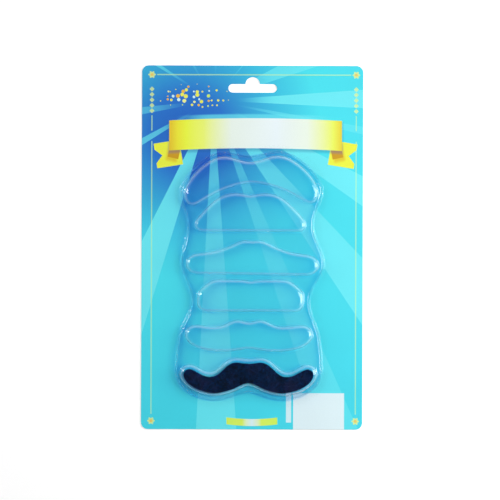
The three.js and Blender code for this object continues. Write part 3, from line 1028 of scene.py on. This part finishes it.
def pile_material():
    """Fibres whose tone differs a little from one to the next and from patch to patch, with a painted sheen
    in lighter and darker patches.
    """
    material, tree, shader = new_material("plush_pile")
    position, _ = position_in_mm(tree)
    uneven = uneven_on(tree, position, **PILE_UNEVENNESS)
    tone = add(tree, "ShaderNodeAttribute", attribute_name="tone").outputs["Fac"]
    fibre = blend_colours(tree, tone, *NAVY_TONES)
    patchy = sums(tree, "MULTIPLY", soft_step(tree, uneven["Wobble"], *BROWN_LIMITS), BROWN_SHARE)
    colour = blend_colours(tree, patchy, fibre, BROWN_TONE)
    finish = {
        # The colour is scaled lighter and darker by the noise: a painted sheen, as on pile that lies lighter.
        "Base Color": scaled(tree, colour, soft_step(tree, uneven["Value"], *UNEVEN_LIMITS, *PAINTED_PILE_SHEEN)),
        "Roughness": PILE_ROUGHNESS,
        "Specular IOR Level": PILE_GLOSS,
    }
    give(tree, shader, finish)
    return material


plush_backing = backing_material()
plush_pile = pile_material()
print("Materials:", plush_backing.name, plush_pile.name)

# %% [markdown]
# The backing is the lowest slice of the frame's moustache: a plane cuts the solid, what is above goes away,
# and the cut is closed. Its outline is then exactly the die's. A copy is kept for the pile to grow on.

# %% Backing piece
BACKING_THICKNESS = 0.9 * MM
plush_low, plush_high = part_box("moustache_plush")

slab = merged_copy("moustache_plush")
cut = bmesh.ops.bisect_plane(
    slab,
    geom=slab.verts[:] + slab.edges[:] + slab.faces[:],
    plane_co=(0, 0, plush_low.z + BACKING_THICKNESS),
    plane_no=(0, 0, 1),
    clear_outer=True,
)
cut_edges = [part for part in cut["geom_cut"] if isinstance(part, bmesh.types.BMEdge)]
bmesh.ops.contextual_create(slab, geom=cut_edges)
bmesh.ops.dissolve_limit(slab, angle_limit=FLAT_ANGLE, verts=slab.verts, edges=slab.edges)
bmesh.ops.recalc_face_normals(slab, faces=slab.faces)
plush_area = sum(face.calc_area() for face in slab.faces if is_flat(face))
lawn = slab.copy()
backing = finish_piece("moustache_backing", slab, plush_backing, smooth=False)
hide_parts("moustache_plush")
print("The cut piece of plush measures", round(plush_area * 1e6), "square mm")

# %% [markdown]
# The pile
#
# A fibre is a thin three-sided spike with a bend near its tip. It starts as a triangle that is extruded
# twice, and the last ring is drawn to a point. Three spikes with different bends are enough, because each
# one that is planted is turned and sized by chance.

# %% One fibre
FIBRE_LENGTH = 2.25 * MM
FIBRE_RADIUS = 0.085 * MM
FIBRE_SIDES = 3
FIBRE_RINGS = [
    {"height": 0.6, "width": 0.85, "bend": 0.3},
    {"height": 1.0, "width": 0.0, "bend": 1.0},
]
FIBRE_BENDS = [0.06, 0.14, 0.24]


def fibre_object(number, bend):
    """A spike of one extruded triangle, bent towards +X by a share of its length."""
    shape = bmesh.new()
    bmesh.ops.create_circle(shape, cap_ends=True, segments=FIBRE_SIDES, radius=FIBRE_RADIUS)
    tip = next(iter(shape.faces))
    before = {"height": 0.0, "width": 1.0, "bend": 0.0}
    for ring in FIBRE_RINGS:
        grown = bmesh.ops.extrude_face_region(shape, geom=[tip, *tip.edges])["geom"]
        verts = [part for part in grown if isinstance(part, bmesh.types.BMVert)]
        middle = sum((vert.co for vert in verts), Vector()) / len(verts)
        rise = (ring["height"] - before["height"]) * FIBRE_LENGTH
        lean = (ring["bend"] - before["bend"]) * bend * FIBRE_LENGTH
        width = ring["width"] / before["width"]
        for vert in verts:
            vert.co = middle + (vert.co - middle) * width + Vector((lean, 0, rise))
        tip = next(part for part in grown if isinstance(part, bmesh.types.BMFace))
        before = ring
    bmesh.ops.remove_doubles(shape, verts=shape.verts, dist=MERGE_DISTANCE)
    bmesh.ops.recalc_face_normals(shape, faces=shape.faces)
    return bpy.data.objects.new(f"fibre_{number}", mesh_of(f"fibre_{number}", shape))


fibres = bpy.data.collections.new("fibres")
for number, bend in enumerate(FIBRE_BENDS):
    fibres.objects.link(fibre_object(number, bend))

# %% [markdown]
# Geometry Nodes plants the fibres. It scatters seeded points over the backing's top face, stands a spike on
# each, and leans the spikes along a slow noise, so that neighbours lean alike and the soft bands appear. The
# instances are realized, because the finished piece has to be one plain mesh.

# %% How each fibre stands
SEEDS = {"planting": 11, "scatter": 3, "twist": 5, "size": 7, "tone": 9}
LEAN_SIZE = 9.0 * MM
LEAN_DETAIL = 2.0
LEAN_AMOUNT = 0.8
SCATTERED_LEAN = 0.26
COMB_DIRECTION = (0.0, 0.04, 1.0)


def chance(tree, low, high, seed, kind="FLOAT"):
    """A random value between low and high for each fibre."""
    made = add(tree, "FunctionNodeRandomValue", {"Seed": seed}, data_type=kind)
    lowest, highest = [socket for socket in made.inputs if socket.enabled][:2]
    lowest.default_value = low
    highest.default_value = high
    return next(socket for socket in made.outputs if socket.enabled)


def standing(tree):
    """Each fibre's direction: up, leaning with its neighbours and a little by chance, and twisted."""
    where = add(tree, "GeometryNodeInputPosition").outputs[0]
    drift = add(tree, "ShaderNodeTexNoise", {"Vector": where, "Scale": 1 / LEAN_SIZE, "Detail": LEAN_DETAIL})
    swing = vectors(tree, "SUBTRACT", drift.outputs["Color"], (0.5, 0.5, 0.5))
    swing = vectors(tree, "MULTIPLY", swing, (LEAN_AMOUNT, LEAN_AMOUNT, 0.0))
    scatter = chance(tree, (-1, -1, 0), (1, 1, 0), SEEDS["scatter"], "FLOAT_VECTOR")
    scatter = vectors(tree, "MULTIPLY", scatter, (SCATTERED_LEAN, SCATTERED_LEAN, 0.0))
    lean = vectors(tree, "ADD", vectors(tree, "ADD", swing, COMB_DIRECTION), scatter)
    upright = add(tree, "FunctionNodeAlignRotationToVector", {"Vector": lean}, axis="Z")
    twist = add(tree, "ShaderNodeCombineXYZ", {"Z": chance(tree, 0.0, math.tau, SEEDS["twist"])})
    turning = {"Rotation": upright.outputs[0], "Rotate By": twist.outputs[0]}
    return add(tree, "FunctionNodeRotateRotation", turning, rotation_space="LOCAL").outputs[0]


print("Fibres lean alike over", LEAN_SIZE / MM, "mm")

# %% Plant the pile
FIBRE_COUNT = 18500
FIBRE_SIZES = (0.8, 1.0)


def planting_tree():
    """Scatters, turns, sizes and realizes the fibres."""
    surface = {"Geometry": "Geometry"}
    tree, start, end = effect("Plant the pile", surface, surface, "GeometryNodeTree")
    density = FIBRE_COUNT / plush_area
    scattering = {"Mesh": start.outputs[0], "Density": density, "Seed": SEEDS["planting"]}
    points = add(tree, "GeometryNodeDistributePointsOnFaces", scattering).outputs["Points"]
    choices = {"Collection": fibres, "Separate Children": True}
    planting = {
        "Points": points,
        "Instance": add(tree, "GeometryNodeCollectionInfo", choices).outputs[0],
        "Pick Instance": True,
        "Rotation": standing(tree),
        "Scale": chance(tree, *FIBRE_SIZES, SEEDS["size"]),
    }
    planted = add(tree, "GeometryNodeInstanceOnPoints", planting).outputs[0]
    toning = {"Geometry": planted, "Name": "tone", "Value": chance(tree, 0.0, 1.0, SEEDS["tone"])}
    toned = add(tree, "GeometryNodeStoreNamedAttribute", toning, data_type="FLOAT", domain="INSTANCE")
    whole = add(tree, "GeometryNodeRealizeInstances", {"Geometry": toned.outputs[0]})
    feed(tree, end.inputs[0], whole.outputs[0])
    return tree


below = [face for face in lawn.faces if not is_flat(face)]
bmesh.ops.delete(lawn, geom=below, context="FACES")
bmesh.ops.triangulate(lawn, faces=lawn.faces)
lawn_object = new_object("lawn", mesh_of("lawn", lawn))
lawn_object.modifiers.new("planting", "NODES").node_group = planting_tree()
grown_lawn = lawn_object.evaluated_get(bpy.context.evaluated_depsgraph_get())
pile_mesh = bpy.data.meshes.new_from_object(grown_lawn)
pile_mesh.name = "moustache_pile"
pile = riding_piece("moustache_pile", pile_mesh, plush_pile)
bpy.data.objects.remove(lawn_object)
for fibre in list(fibres.objects):
    bpy.data.objects.remove(fibre)
bpy.data.collections.remove(fibres)

# %% [markdown]
# The adhesive film
#
# Under the plush is the sticky film that holds the moustache on a lip. The frame's solid has its shape
# already, so it only gets its material, through its own material slot: pale, slightly yellow, with the fine
# orange peel of a cast adhesive.

# %% Adhesive material
FILM_TONES = [(0.78, 0.75, 0.64), (0.86, 0.84, 0.76)]
FILM_ROUGHNESS = (0.35, 0.55)
FILM_UNEVENNESS = {"wobble": 6.0, "grain": 0.5, "share": 0.5}
FILM_BUMP = {"strength": 0.4, "distance": 0.1 * MM}


def film_material():
    """Pale sticky film."""
    material, tree, shader = new_material("adhesive_film")
    position, _ = position_in_mm(tree)
    uneven = uneven_on(tree, position, **FILM_UNEVENNESS)["Value"]
    finish = {
        "Base Color": blend_colours(tree, uneven, *FILM_TONES),
        "Roughness": soft_step(tree, uneven, *UNEVEN_LIMITS, *FILM_ROUGHNESS),
        "Normal": bump_of(tree, uneven, **FILM_BUMP),
    }
    give(tree, shader, finish)
    return material


film = nodes["adhesive_strip"]
film.material_slots[0].material = film_material()

# %% [markdown]
# The floor
#
# A pale floor lies just under the card's back, with a faint glow of its own as a light table has, so that
# it stays white in the picture.

# %% Floor
FLOOR_DROP = 0.05 * MM
FLOOR_SIDE = 6.0
FLOOR_FINISH = {
    "Base Color": (0.96, 0.96, 0.96, 1),
    "Roughness": 0.8,
    "Emission Color": (1, 1, 1, 1),
    "Emission Strength": 0.24,
}

ground = bmesh.new()
bmesh.ops.create_grid(ground, x_segments=1, y_segments=1, size=FLOOR_SIDE / 2)
bmesh.ops.translate(ground, verts=ground.verts, vec=(0, 0, -FLOOR_DROP))
floor = new_object("floor", mesh_of("floor", ground))
floor_material, floor_tree, floor_shader = new_material("pale_floor")
give(floor_tree, floor_shader, FLOOR_FINISH)
floor.data.materials.append(floor_material)
print("The floor is", FLOOR_SIDE, "m wide")
